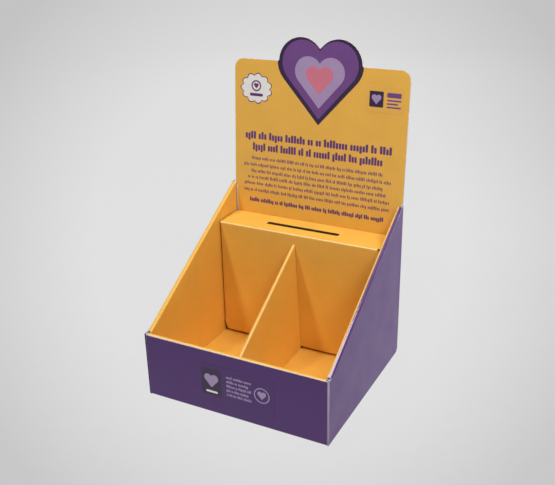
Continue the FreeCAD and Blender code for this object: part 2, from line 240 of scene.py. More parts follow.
def printed(name, colour, rough=0.42, paper=PAPER, fray=0.35):
    """Ink on coated board: mottled, faintly ribbed over the flutes with painted shade along the ribs, and pale
    along folds, where cracked ink shows the paper and a painted highlight lies on the fold.
    """
    n = Nodes(name)
    place = n.attribute("flat", "Vector")
    wear_and_highlight = n.attribute("wear_and_highlight", "Fac")
    ribs_at = n.add("SeparateXYZ", 0, {0: place})
    ribs = n.math("SINE", n.math("MULTIPLY", ribs_at, 2 * math.pi / FLUTE_PITCH))
    mottle = n.noise(place, 0.035, 3.0)
    grain = n.noise(place, 1.7, 3.0, 0.65)
    tone = n.math("ADD", n.span(mottle, 0.3, 0.7, 0.965, 1.035), n.span(grain, 0.25, 0.75, -0.03, 0.03))
    # Painted shade: the ink goes a little lighter and darker along each flute rib.
    tone = n.math("MULTIPLY_ADD", ribs, 0.009, tone)
    cracks = n.noise(place, 0.55, 4.0, 0.7)
    # Pale along folds: paper showing through cracked ink, and a painted highlight on the fold's crest.
    worn_and_highlit = n.math("MULTIPLY_ADD", n.math("SUBTRACT", cracks, 0.5), fray * 2, wear_and_highlight)
    worn_and_highlit = n.span(worn_and_highlit, 0.42, 0.72, 0.0, 1.0, smooth=True)
    ink = n.shade(colour, tone)
    relief = n.math("MULTIPLY_ADD", ribs, 0.5, n.math("MULTIPLY", grain, 0.8))
    relief = n.math("ADD", relief, n.math("MULTIPLY", worn_and_highlit, n.math("MULTIPLY", cracks, 3.0)))
    n.bump(relief, 0.00003, 0.6)
    sheen = n.math("ADD", n.span(mottle, 0.3, 0.7, rough - 0.05, rough + 0.05), n.math("MULTIPLY", worn_and_highlit, 0.3))
    return n.finish(n.mix(worn_and_highlit, ink, n.shade(paper, tone)), sheen)


def liner(name, colour):
    """Plain uncoated paper on the hidden side of the board, with fibres, and faint flute lines in relief and
    in painted shade.
    """
    n = Nodes(name)
    place = n.add("TexCoord", "Object")
    fibres = n.noise(place, 900.0, 4.0, 0.7)
    cloud = n.noise(place, 25.0, 2.0)
    tone = n.math("ADD", n.span(fibres, 0.3, 0.7, 0.95, 1.03), n.span(cloud, 0.3, 0.7, -0.03, 0.03))
    ribs_at = n.add("SeparateXYZ", 0, {0: n.attribute("flat", "Vector")})
    ribs = n.math("SINE", n.math("MULTIPLY", ribs_at, 2 * math.pi / FLUTE_PITCH))
    n.bump(n.math("MULTIPLY_ADD", ribs, 0.6, fibres), 0.00004, 0.6)
    # The flute lines also darken and lighten the paper a little: painted shade.
    return n.finish(n.shade(colour, n.math("MULTIPLY_ADD", ribs, 0.012, tone)), 0.82)


def raw_edge(name, paper, hollow_shade):
    """Cut edge of the board: two liners with the wave of the fluted middle, and painted shade in the hollows
    between them.
    """
    n = Nodes(name)
    place = n.attribute("flat", "Vector")
    across = n.add("SeparateXYZ", 0, {0: place})
    depth = n.math("DIVIDE", n.add("SeparateXYZ", 2, {0: place}), BOARD)
    wave = n.math("SINE", n.math("MULTIPLY", across, 2 * math.pi / FLUTE_PITCH))
    wave = n.math("MULTIPLY_ADD", wave, 0.34, 0.5)
    off_wave = n.math("ABSOLUTE", n.math("SUBTRACT", depth, wave))
    off_middle = n.math("ABSOLUTE", n.math("SUBTRACT", depth, 0.5))
    flute = n.span(off_wave, 0.07, 0.13, 1.0, 0.0, smooth=True)
    skin = n.span(off_middle, 0.36, 0.42, 0.0, 1.0, smooth=True)
    solid = n.math("MAXIMUM", flute, skin)
    fibres = n.noise(place, 2.2, 4.0, 0.7)
    paper = n.shade(paper, n.span(fibres, 0.3, 0.7, 0.85, 1.1))
    # The hollows get a darker colour: painted shade in the recesses of the flutes.
    hollow_shade = n.shade(hollow_shade, n.span(fibres, 0.3, 0.7, 0.8, 1.1))
    n.bump(n.math("ADD", n.math("MULTIPLY", solid, 2.0), fibres), 0.00006)
    return n.finish(n.mix(solid, hollow_shade, paper), 0.85)


# The last colour of each coat is the pale of its folds: paper through cracked ink, and painted highlight.
YELLOW = printed("yellow_coat", srgb(238, 182, 77), 0.40, srgb(244, 212, 150))
PURPLE = printed("purple_coat", srgb(75, 32, 106), 0.36, srgb(208, 190, 212))
INKS = {
    "plum": printed("plum_ink", srgb(52, 30, 66)),
    "purple": printed("purple_ink", srgb(112, 70, 134)),
    "text": printed("text_ink", srgb(98, 52, 112)),
    "lilac": printed("lilac_ink", srgb(170, 146, 186)),
    "pink": printed("pink_ink", srgb(212, 120, 140)),
    "ivory": printed("ivory_ink", srgb(236, 228, 214)),
    "white": printed("white_ink", srgb(240, 236, 230)),
}
LINER = liner("white_liner", srgb(234, 230, 222))
# Each cut edge: its paper colour, then the painted shade of its flute hollows.
RAW = raw_edge("raw_edge", srgb(204, 192, 214), srgb(124, 110, 136))
RAW_OCHRE = raw_edge("raw_edge_ochre", srgb(172, 128, 60), srgb(64, 46, 20))
RAW_DUSK = raw_edge("raw_edge_dusk", srgb(82, 66, 110), srgb(48, 36, 76))
RAW_GREY = raw_edge("raw_edge_grey", srgb(150, 142, 152), srgb(118, 110, 122))
RAW_PALE = raw_edge("raw_edge_pale", srgb(236, 230, 220), srgb(196, 188, 176))
LABEL_PURPLE = printed("label_purple", srgb(73, 31, 103), 0.34)
LABEL_YELLOW = printed("label_yellow", srgb(236, 180, 80), 0.34)


# Outlines on the flat board

def arc(centre, radius, start, end, steps=10):
    """Points along an arc, angles in degrees."""
    turns = [math.radians(start + (end - start) * i / steps) for i in range(steps + 1)]
    return [(centre[0] + radius * math.cos(t), centre[1] + radius * math.sin(t)) for t in turns]


def circle(x, y, radius, steps=28):
    """Closed loop of a circle."""
    return arc((x, y), radius, 0, 360, steps)[:-1]


def rounded(left, right, bottom, top, radius, steps=4):
    """Closed loop of a rectangle with rounded corners."""
    points = arc((right - radius, bottom + radius), radius, -90, 0, steps)
    points += arc((right - radius, top - radius), radius, 0, 90, steps)
    points += arc((left + radius, top - radius), radius, 90, 180, steps)
    return points + arc((left + radius, bottom + radius), radius, 180, 270, steps)


def rectangle(left, right, bottom, top):
    """Closed loop of a plain rectangle."""
    return [(left, bottom), (right, bottom), (right, top), (left, top)]


def heart(x, rise, size, tip_drop=0, steps=16):
    """Closed loop of a heart whose lobes are two arcs and whose sides run straight to the tip."""
    radius = LOBE_RADIUS * size
    offset = LOBE_OFFSET * size
    tip_drop = tip_drop or size * (LOBE_RISE - HEART_TIP)
    reach = math.hypot(offset, tip_drop)
    touch = math.degrees(math.acos(radius / reach)) - math.degrees(math.atan2(tip_drop, -offset))
    cleft = math.degrees(math.acos(min(1.0, offset / radius)))
    right = arc((x + offset, rise), radius, touch, 180 - cleft, steps)
    left = [(2 * x - u, v) for u, v in reversed(right)][1:]
    return [(x, rise - tip_drop)] + right + left


def scallop(x, y, half_width, half_height, lobes, depth, steps=8):
    """Closed loop of an oval edged with round lobes."""
    points = []
    for i in range(lobes * steps):
        turn = 2 * math.pi * i / (lobes * steps)
        swell = 1 - depth * (1 - abs(math.sin(lobes * turn / 2)))
        points.append((x + half_width * swell * math.cos(turn), y + half_height * swell * math.sin(turn)))
    return points


# Board cut flat, printed, creased and folded

CHAMFER = 0.15            # softened edge of a cut
SEED_STEP = 12.0
SEED_CLEAR = 2.0          # loose points keep this far from every drawn line
ROW_STEP = 9.0
FOLD_STEPS = 6
WEAR_AND_HIGHLIGHT_REACH = 1.4          # wear and painted highlight spread this far past a fold
SLACK = 1e-3              # play in tests of place on the flat board


class Crease:
    """Fold line; what lies left of it turns away from the printed face, or towards it below zero."""

    def __init__(self, start, end, angle, radius, wear_and_highlight, fade, reach):
        self.start = np.array(start, float)
        run = np.array(end, float) - self.start
        self.length = float(np.hypot(*run))
        self.along = run / self.length
        self.across = np.array([-self.along[1], self.along[0]])
        self.side = 1.0 if angle > 0 else -1.0
        self.angle = math.radians(abs(angle))
        self.radius = radius
        self.half = radius * math.tan(self.angle / 2)
        self.wear_and_highlight = wear_and_highlight
        self.fade = fade
        self.reach = reach

    def local(self, points):
        """Distances along and across the line."""
        away = points - self.start
        return away @ self.along, away @ self.across

    def fading(self, along):
        """Share of the fold's radius, which shrinks towards a faded end."""
        share = np.ones_like(along)
        if self.fade[0]:
            share = np.minimum(share, np.clip(along / self.fade[0], 0, 1))
        if self.fade[1]:
            share = np.minimum(share, np.clip((self.length - along) / self.fade[1], 0, 1))
        return np.maximum(share, 1e-4)

    def turn(self, flat, place):
        """Fold the points at place, whose spots on the flat board are flat."""
        along0, across0 = self.local(flat)
        share = self.fading(along0)
        radius = self.radius * share
        half = self.half * share
        outside = ((along0 < -SLACK) | (along0 > self.length + SLACK)) & (across0 < self.reach)
        moved = (across0 > -half) & ~outside
        along, across = self.local(place[:, :2])
        height = place[:, 2]
        angle = self.angle * np.clip((across0 + half) / (2 * half), 0, 1)
        past = np.where(across0 > half, across - half, 0.0)
        arm = radius + self.side * height
        new_across = -half + arm * np.sin(angle) + past * np.cos(angle)
        new_height = self.side * (-radius + arm * np.cos(angle) - past * np.sin(angle))
        spot = self.start + np.outer(along, self.along) + np.outer(new_across, self.across)
        folded = np.column_stack([spot, new_height])
        return np.where(moved[:, None], folded, place)

    def worn_and_highlit(self, flat):
        """Wear and painted highlight at points of the flat board, most at the middle of the fold."""
        along, across = self.local(flat)
        share = np.clip(along / self.length, 0, 1)
        amount = self.wear_and_highlight[0] + (self.wear_and_highlight[1] - self.wear_and_highlight[0]) * share
        near = np.clip(1 - np.abs(across) / (self.half + WEAR_AND_HIGHLIGHT_REACH), 0, 1)
        inside = (along > -SLACK) & (along < self.length + SLACK)
        return amount * near * inside

    def rows(self):
        """Lines of points beside the crease that let the board bend there."""
        steps = [self.half * (2 * i / FOLD_STEPS - 1) for i in range(FOLD_STEPS + 1)]
        steps = [-self.half - WEAR_AND_HIGHLIGHT_REACH] + steps + [self.half + WEAR_AND_HIGHLIGHT_REACH]
        count = max(1, round(self.length / ROW_STEP))
        for step in steps:
            start = self.start + self.across * step
            yield [start + self.along * self.length * i / count for i in range(count + 1)]


def divided(loop):
    """Loop with points added along its long edges, so that print over a fold bends with it."""
    points = []
    for start, end in zip(loop, loop[1:] + loop[:1]):
        count = max(1, math.ceil(math.dist(start, end) / ROW_STEP))
        points += [tuple(Vector(start).lerp(Vector(end), i / count)) for i in range(count)]
    return points


class Board:
    """One sheet: its outline, holes, print and creases, and where its first panel stands."""

    def __init__(self, name, outline, ink, origin, across, up, thickness=BOARD, lift=0.0, mirror=False):
        self.name = name
        self.loops = [outline]
        self.inks = [ink]
        self.creases = []
        self.scuffs = []
        self.trims = []
        self.form = None
        self.origin = np.array(origin, float)
        self.axes = np.array([across, up, across.cross(up)])
        self.thickness = thickness
        self.lift = lift
        self.mirror = mirror

    def hole(self, loop):
        """Cut a hole."""
        self.loops.append(loop)
        self.inks.append(None)

    def ink(self, loop, material):
        """Print an area over what is there."""
        self.loops.append(divided(loop))
        self.inks.append(material)

    def crease(self, start, end, angle=90, radius=FOLD, wear_and_highlight=(0, 0), fade=(0, 0), reach=FOLD):
        """Add a fold; the outermost folds come first."""
        self.creases.append(Crease(start, end, angle, radius, wear_and_highlight, fade, reach))
        return self.creases[-1]

    def scuff(self, start, end, wear_and_highlight):
        """Rub the print along a line."""
        self.scuffs.append(Crease(start, end, 90, 0.0, wear_and_highlight, (0, 0), 0.0))

    def trim(self, first, last, material):
        """Give the cut edges between two corners of the flat board their own material."""
        self.trims.append((np.minimum(first, last) - SLACK, np.maximum(first, last) + SLACK, material))

    def edge_material(self, middle, edge):
        """Material of the cut edge around a point of the flat board."""
        for low_corner, high_corner, material in self.trims:
            if (middle > low_corner).all() and (middle < high_corner).all():
                return material
        return edge

    def seeds(self):
        """Loose points over the sheet, clear of the folds."""
        outline = np.array(self.loops[0])
        first, last = outline.min(0), outline.max(0)
        count = np.maximum(1, np.round((last - first) / SEED_STEP).astype(int))
        grid = np.array([(u, v) for u in np.linspace(first[0], last[0], count[0] + 1)[1:-1]
                         for v in np.linspace(first[1], last[1], count[1] + 1)[1:-1]]).reshape(-1, 2)
        for crease in self.creases:
            across = crease.local(grid)[1]
            grid = grid[np.abs(across) > crease.half + 2 * WEAR_AND_HIGHLIGHT_REACH]
        for loop in self.loops:
            starts = np.array(loop)
            runs = np.roll(starts, -1, axis=0) - starts
            away = grid[:, None] - starts
            share = np.clip((away * runs).sum(2) / np.maximum((runs ** 2).sum(1), SLACK ** 2), 0, 1)
            gaps = np.linalg.norm(away - share[..., None] * runs, axis=2).min(1)
            grid = grid[gaps > SEED_CLEAR]
        return [tuple(p) for p in grid]

    def triangles(self):
        """Places and triangles of the printed sheet, with each triangle's ink."""
        points, edges, faces = [], [], []
        for loop in self.loops:
            faces.append(list(range(len(points), len(points) + len(loop))))
            points += loop
        for crease in self.creases:
            for row in crease.rows():
                edges += [(len(points) + i, len(points) + i + 1) for i in range(len(row) - 1)]
                points += [tuple(p) for p in row]
        points += self.seeds()
        found = delaunay_2d_cdt([Vector(p) for p in points], edges, faces, 1, 1e-5)
        places, triangles, owners = found[0], found[2], found[5]
        kept, inks = [], []
        for triangle, owner in zip(triangles, owners):
            if 0 in owner and self.inks[max(owner)] is not None:
                kept.append(triangle)
                inks.append(self.inks[max(owner)])
        used = sorted({i for t in kept for i in t})
        renumber = {old: new for new, old in enumerate(used)}
        flat = np.array([places[i][:] for i in used])
        kept = [[renumber[i] for i in t] for t in kept]
        for t in kept:
            a, b, c = flat[t]
            if (b[0] - a[0]) * (c[1] - a[1]) < (b[1] - a[1]) * (c[0] - a[0]):
                t.reverse()
        return flat, kept, inks

    def rim(self, flat, triangles):
        """Directed border edges, and for each border point its step inwards."""
        directed = {(t[i], t[(i + 1) % 3]) for t in triangles for i in range(3)}
        border = [(a, b) for a, b in directed if (b, a) not in directed]
        border.sort()
        normals = {}
        for a, b in border:
            run = flat[b] - flat[a]
            inward = np.array([-run[1], run[0]]) / np.hypot(*run)
            normals.setdefault(a, []).append(inward)
            normals.setdefault(b, []).append(inward)
        steps = {}
        for i, pair in normals.items():
            total = pair[0] + pair[-1]
            steps[i] = total / max(0.5, 1 + float(pair[0] @ pair[-1]))
        return border, steps

    def inset(self, flat, triangles, steps, cut):
        """Points with the border moved inwards, but for spots where that would turn a triangle over."""
        moved = flat.copy()
        for i, step in steps.items():
            moved[i] += step * cut
        corners = np.array(triangles)
        for _ in range(5):
            a, b, c = (moved[corners[:, k]] for k in range(3))
            turn = (b[:, 0] - a[:, 0]) * (c[:, 1] - a[:, 1]) - (b[:, 1] - a[:, 1]) * (c[:, 0] - a[:, 0])
            for i in set(corners[turn < SLACK].ravel()) & set(steps):
                moved[i] = flat[i]
        return moved

    def place(self, flat, depth):
        """World places of points on the flat board at a depth below the printed face."""
        place = np.column_stack([flat, self.lift - depth])
        for crease in self.creases:
            place = crease.turn(flat, place)
        world = self.origin + place @ self.axes
        if self.form:
            world = self.form(flat, world)
        if self.mirror:
            world[:, 0] *= -1
        return world

    def build(self, hidden=LINER, edge=RAW):
        """Closed mesh of the folded board."""
        flat, triangles, inks = self.triangles()
        border, steps = self.rim(flat, triangles)
        cut = min(CHAMFER, self.thickness / 4)
        inset = self.inset(flat, triangles, steps, cut)
        count = len(flat)
        edge_ids = sorted(steps)
        ring = {i: 2 * count + k for k, i in enumerate(edge_ids)}
        deep = {i: 2 * count + len(edge_ids) + k for k, i in enumerate(edge_ids)}
        spots = np.vstack([inset, inset, flat[edge_ids], flat[edge_ids]])
        depth = np.concatenate([np.zeros(count), np.full(count, self.thickness),
                                np.full(len(edge_ids), cut), np.full(len(edge_ids), self.thickness - cut)])
        materials = list(dict.fromkeys([edge, hidden] + inks + [trim[2] for trim in self.trims]))
        number = {m: materials.index(m) for m in materials}
        faces = [list(t) for t in triangles] + [[i + count for i in reversed(t)] for t in triangles]
        slots = [number[m] for m in inks] + [1] * len(triangles)
        sharp = set()
        for a, b in border:
            slot = number[self.edge_material((flat[a] + flat[b]) / 2, edge)]
            levels = [(a, b), (ring[a], ring[b]), (deep[a], deep[b]), (a + count, b + count)]
            for (p, q), (r, s) in zip(levels, levels[1:]):
                faces.append([q, p, r, s])
                slots.append(slot)
            sharp.update({(a, b), (a + count, b + count)})
        if self.mirror:
            faces = [f[::-1] for f in faces]
        return self.mesh(spots, depth, faces, slots, materials, sharp)

    def mesh(self, spots, depth, faces, slots, materials, sharp):
        """Blender object from the points and faces."""
        data = bpy.data.meshes.new(self.name)
        data.from_pydata((self.place(spots, depth) * MM).tolist(), [], faces)
        for material in materials:
            data.materials.append(material)
        data.polygons.foreach_set("material_index", slots)
        data.polygons.foreach_set("use_smooth", [True] * len(faces))
        hard = {tuple(sorted(pair)) for pair in sharp}
        for e in data.edges:
            e.use_edge_sharp = tuple(sorted(e.vertices)) in hard
        # Wear along folds and scuffs, with painted highlight along the folds.
        wear_and_highlight = np.zeros(len(spots))
        for line in self.creases + self.scuffs:
            wear_and_highlight = np.maximum(wear_and_highlight, line.worn_and_highlit(spots))
        data.attributes.new("wear_and_highlight", "FLOAT", "POINT").data.foreach_set("value", wear_and_highlight.astype(np.float32))
        flat = np.column_stack([spots, depth]).astype(np.float32)
        data.attributes.new("flat", "FLOAT_VECTOR", "POINT").data.foreach_set("vector", flat.ravel())
        data.update()
        made = bpy.data.objects.new(self.name, data)
        bpy.context.scene.collection.objects.link(made)
        return made


def finish_piece(piece, body, nodes):
    """Ride the body, if there is one, and stand for the nodes, which are hidden."""
    if body:
        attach(piece, body)
    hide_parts(*nodes)


def lock_foot(start, end, foot, centres):
    """Bottom edge from start to end with a lock tongue hanging from each centre."""
    points = [(start, foot)]
    for centre in centres:
        first, last = centre - LOCK_WIDTH / 2, centre + LOCK_WIDTH / 2
        points += [(first, foot), (first, LOCK_TIP), (last, LOCK_TIP), (last, foot)]
    return points + [(end, foot)]


def flipper(start, end, strip):
    """Mirror on the flat board about the middle of a strip that lies to the left of a line."""
    line = Crease(start, end, 90, FOLD, (0, 0), (0, 0), FOLD)

    def flip(point):
        """Mirrored point."""
        away = line.local(np.array(point))[1] - strip / 2
        return tuple(np.array(point) - 2 * away * line.across)

    return flip, line.across * strip


# Tray

RIM_RISE = (REAR_HEIGHT - FRONT_HEIGHT) / (FLANGE_FACE - FRONT_FACE)


def rim_height(y):
    """Height of a side wall's sloping rim at a distance y."""
    return FRONT_HEIGHT + RIM_RISE * (y - FRONT_FACE)


def side_wall(word, mirror, split, wear_and_highlight, scuff, front_edge):
    """Outer leaf, rolled rim and inner leaf of one side wall, folded from one sheet."""
    strip = HALF_WIDTH - SIDE_FACE
    start, end = (FRONT_FACE, FRONT_HEIGHT), (FLANGE_FACE, REAR_HEIGHT)
    flip, shift = flipper(start, end, strip)
    cut_y = BACK - CORNER_CUT
    leaf_end = LEAF_END - HEADER_PLAY
    rim_end, rim_start = (leaf_end, rim_height(leaf_end)), (RIM_START, rim_height(RIM_START))
    inner = lock_foot(LEAF_START, leaf_end, BOARD, SIDE_LOCKS)
    inner = [(LEAF_START, rim_height(LEAF_START))] + inner + [rim_end]
    outline = [(FRONT, -FOLD), (cut_y, -FOLD), (cut_y, 0), (BACK, CORNER_CUT_HEIGHT), (BACK, REAR_HEIGHT),
               end, rim_end]
    outline += [flip(p) for p in reversed(inner)]
    outline += [flip(rim_start), rim_start, start, (FRONT, FRONT_HEIGHT)]
    board = Board(word + "_wall", outline, PURPLE, (HALF_WIDTH, 0, 0), ACROSS_Y, UP, mirror=mirror)
    along = np.array(end) - np.array(start)
    inks = [np.array(start) + shift * split + along * share for share in (-1, 2)]
    inks += [point + shift * 60 for point in reversed(inks)]
    board.ink([tuple(point) for point in inks], YELLOW)
    fade = (math.hypot(RIM_START - FRONT_FACE, rim_height(RIM_START) - FRONT_HEIGHT), 0)
    # The rim folds are pale with wear and a painted highlight along their crests.
    board.crease(tuple(np.array(start) + shift), tuple(np.array(end) + shift), fade=fade, wear_and_highlight=wear_and_highlight[1])
    board.crease(start, end, fade=fade, wear_and_highlight=wear_and_highlight[0], reach=strip / 2)
    board.crease((BACK, 0), (FRONT, 0), wear_and_highlight=(0.15, 0.2))
    board.scuff(tuple(np.array(start) + shift * 0.45), tuple(np.array(end) + shift * 0.45), scuff)
    board.trim((FRONT, -FOLD), (FRONT, FRONT_HEIGHT), front_edge)
    board.trim(start, flip(rim_start), RAW_GREY)
    made = board.build()
    finish_piece(made, "tray", [word + "_outer_wall", word + "_rim", word + "_inner_wall"])


def front_wall():
    """Front panel, its flat rim and its inner leaf, folded from one sheet."""
    strip = FRONT_FACE - FRONT
    top = 2 * FRONT_HEIGHT + strip
    inner = [(x, top - z) for x, z in lock_foot(-FRONT_LEAF_HALF, FRONT_LEAF_HALF, BOARD, FRONT_LOCKS)]
    outline = [(-PANEL_HALF, -FOLD), (PANEL_HALF, -FOLD), (PANEL_HALF, FRONT_HEIGHT),
               (FRONT_LEAF_HALF, FRONT_HEIGHT)]
    outline += inner[::-1] + [(-FRONT_LEAF_HALF, FRONT_HEIGHT), (-PANEL_HALF, FRONT_HEIGHT)]
    board = Board("front_wall", outline, PURPLE, (0, FRONT, 0), ACROSS_X, UP)
    board.ink(rectangle(-HALF_WIDTH, HALF_WIDTH, FRONT_HEIGHT - 0.5, top + 1), YELLOW)
    ends = (PANEL_HALF - FRONT_LEAF_HALF,) * 2
    back_fold = FRONT_HEIGHT + strip
    board.crease((-PANEL_HALF, back_fold), (PANEL_HALF, back_fold), fade=ends, wear_and_highlight=(0.3, 0.3))
    # The top fold is pale with wear and a painted highlight.
    board.crease((-PANEL_HALF, FRONT_HEIGHT), (PANEL_HALF, FRONT_HEIGHT), fade=ends, wear_and_highlight=(0.95, 0.75))
    board.crease((PANEL_HALF, 0), (-PANEL_HALF, 0), wear_and_highlight=(0.2, 0.15))
    made = board.build()
    finish_piece(made, "tray", ["front_outer_wall", "front_rim", "front_inner_wall"])


def base():
    """Base panel with the slots that take the lock tongues."""
    half, front, back = PANEL_HALF, FRONT + FOLD, BACK - FOLD
    bevel = HALF_WIDTH + BACK - CORNER_CUT
    outline = [(-half, front), (half, front), (half, bevel - half), (bevel - back, back),
               (back - bevel, back), (-half, bevel - half)]
    outline = [(x, -y) for x, y in reversed(outline)]
    board = Board("base", outline, PURPLE, (0, 0, 0), ACROSS_X, -ACROSS_Y)
    length = LOCK_WIDTH / 2 + LOCK_PLAY
    play = 0.1
    for y in SIDE_LOCKS:
        for inner in (SIDE_FACE - play, -SIDE_FACE - BOARD - play):
            board.hole(rectangle(inner, inner + BOARD + 2 * play, -y - length, -y + length))
    for x in FRONT_LOCKS:
        inner = FRONT_FACE - BOARD - play
        board.hole(rectangle(x - length, x + length, -inner - BOARD - 2 * play, -inner))
    finish_piece(board.build(), "tray", ["tray_base"])


def back_panel():
    """Back panel with the window of the rear door."""
    low_half = PANEL_HALF - CORNER_CUT
    outline = [(-low_half, -FOLD), (low_half, -FOLD), (low_half, 0), (PANEL_HALF, CORNER_CUT_HEIGHT),
               (PANEL_HALF, BACK_HEIGHT), (-PANEL_HALF, BACK_HEIGHT), (-PANEL_HALF, CORNER_CUT_HEIGHT),
               (-low_half, 0)]
    board = Board("back_wall", outline, PURPLE, (0, BACK, 0), -ACROSS_X, UP)
    half = DOOR_HALF + WINDOW_PLAY
    board.hole(rectangle(-half, half, DOOR_FOOT - WINDOW_PLAY, WINDOW_TOP))
    board.crease((low_half, 0), (-low_half, 0), wear_and_highlight=(0.2, 0.2))
    finish_piece(board.build(), "tray", ["back_panel"])


def rear_door():
    """Door with a scored crease along its top, about which it bends out on the real box, and a thumb notch at
    its foot.
    """
    notch = arc((0, DOOR_FOOT), THUMB_RADIUS, 180, 0, 20)
    outline = [(-DOOR_HALF, DOOR_FOOT)] + notch + [(DOOR_HALF, DOOR_FOOT), (DOOR_HALF, WINDOW_TOP),
                                                   (-DOOR_HALF, WINDOW_TOP)]
    board = Board("door_leaf", outline, PURPLE, (0, BACK, 0), -ACROSS_X, UP)
    board.crease((-DOOR_HALF, DOOR_CREASE_Z), (DOOR_HALF, DOOR_CREASE_Z), 0.01, DOOR_SCORE, wear_and_highlight=(0.55, 0.55))
    made = board.build()
    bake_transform(made)
    finish_piece(made, None, ["rear_door"])


def money_box():
    """Bottom flap, front, sides, slotted top and rear flange of the money box, folded from one sheet."""
    corner_top = MONEY_FOOT + MONEY_CORNER_HEIGHT
    depth = MONEY_END - MONEY_FRONT
    back = MONEY_TOP + FLANGE_FACE - MONEY_FRONT
    half = [(MONEY_LOW_HALF, MONEY_FOOT - depth), (MONEY_LOW_HALF, MONEY_FOOT), (MONEY_HALF, corner_top),
            (MONEY_HALF + MONEY_LEG, corner_top), (MONEY_HALF + MONEY_LEG, FLOOR_TOP),
            (MONEY_HALF + depth, FLOOR_TOP), (MONEY_HALF + depth, MONEY_SIDE_TOP),
            (MONEY_HALF, MONEY_SIDE_TOP),
            (MONEY_HALF, back), (FLANGE_HALF, back), (FLANGE_HALF, back + MONEY_TOP - FLANGE_FOOT)]
    outline = half + [(-x, z) for x, z in reversed(half)]
    at = half.index((MONEY_HALF, MONEY_SIDE_TOP)) + 1
    notch = MONEY_HALF - RELIEF
    outline[at:at] = [(notch, MONEY_SIDE_TOP), (notch, MONEY_TOP + 2), (MONEY_HALF, MONEY_TOP + 2)]
    board = Board("money_box", outline, YELLOW, (0, MONEY_FRONT, 0), ACROSS_X, UP)
    left, right, front, rear = SLOT
    lift = MONEY_TOP - MONEY_FRONT
    board.hole(rounded(left, right, front + lift, rear + lift, SLOT_RADIUS))
    board.crease((-MONEY_HALF, back), (MONEY_HALF, back), wear_and_highlight=(0.2, 0.2))
    # The fold at the top front edge is pale with wear and a painted highlight.
    board.crease((-MONEY_HALF, MONEY_TOP), (MONEY_HALF, MONEY_TOP), wear_and_highlight=(0.75, 0.75))
    board.crease((MONEY_HALF, MONEY_FOOT), (-MONEY_HALF, MONEY_FOOT), wear_and_highlight=(0.3, 0.3), reach=depth)
    ends = (3.0, 3.0)
    board.crease((MONEY_HALF, MONEY_SIDE_TOP), (MONEY_HALF, corner_top), fade=ends, wear_and_highlight=(0.3, 0.3))
    board.crease((-MONEY_HALF, corner_top), (-MONEY_HALF, MONEY_SIDE_TOP), fade=ends, wear_and_highlight=(0.3, 0.3))
    nodes = ["money_box_" + part for part in ("front", "top", "bottom", "flange", "left_side", "right_side")]
    finish_piece(board.build(edge=RAW_OCHRE), "tray", nodes)


def divider():
    """Divider folded double along its sloping top, with the floors of both bins folded out from its feet."""
    start, end = (DIVIDER_START, DIVIDER_FRONT_TOP), (DIVIDER_END, DIVIDER_REAR_TOP)
    flip, shift = flipper(start, end, 2 * FOLD)
    gap = FLOOR_TOP - TIGHT_FOLD - 0.1

    def leaf(width):
        """Leaf and floor from the rear top round to the front top."""
        return [end, (DIVIDER_END, gap), (FLOOR_END, gap), (FLOOR_END, FLOOR_TOP - width),
                (DIVIDER_START, FLOOR_TOP - width), start]

    right = leaf(FLOOR_HALF - DIVIDER_MIDDLE - DIVIDER_SPREAD)
    left = leaf(FLOOR_HALF + DIVIDER_MIDDLE - DIVIDER_SPREAD)
    outline = right[::-1] + [flip(p) for p in left]
    board = Board("divider", outline, YELLOW, (DIVIDER_MIDDLE + FOLD, 0, 0), ACROSS_Y, UP)
    foot_start, foot_end = (DIVIDER_START, FLOOR_TOP), (FLOOR_END, FLOOR_TOP)
    board.crease(flip(foot_start), flip(foot_end), -90, TIGHT_FOLD)
    # The sloping ridge is pale with wear and a painted highlight.
    board.crease(tuple(np.array(start) + shift), tuple(np.array(end) + shift), wear_and_highlight=(0.7, 0.6))
    ridge = board.crease(start, end, wear_and_highlight=(0.7, 0.6))
    board.crease(foot_end, foot_start, -90, TIGHT_FOLD)

    def spread(flat, world):
        """Let the two leaves part evenly from the ridge down to their feet."""
        side = np.clip(1 - ridge.local(flat)[1] / FOLD, -1, 1)
        top = np.interp(world[:, 1], (start[0], end[0]), (start[1], end[1]))
        share = np.clip((top - world[:, 2]) / (top - FLOOR_TOP), 0, 1)
        world[:, 0] += side * share * (DIVIDER_SPREAD - FOLD)
        return world

    board.form = spread
    nodes = ["divider_left_leaf", "divider_right_leaf", "floor_left", "floor_right"]
    finish_piece(board.build(edge=RAW_OCHRE), "tray", nodes)


# Header

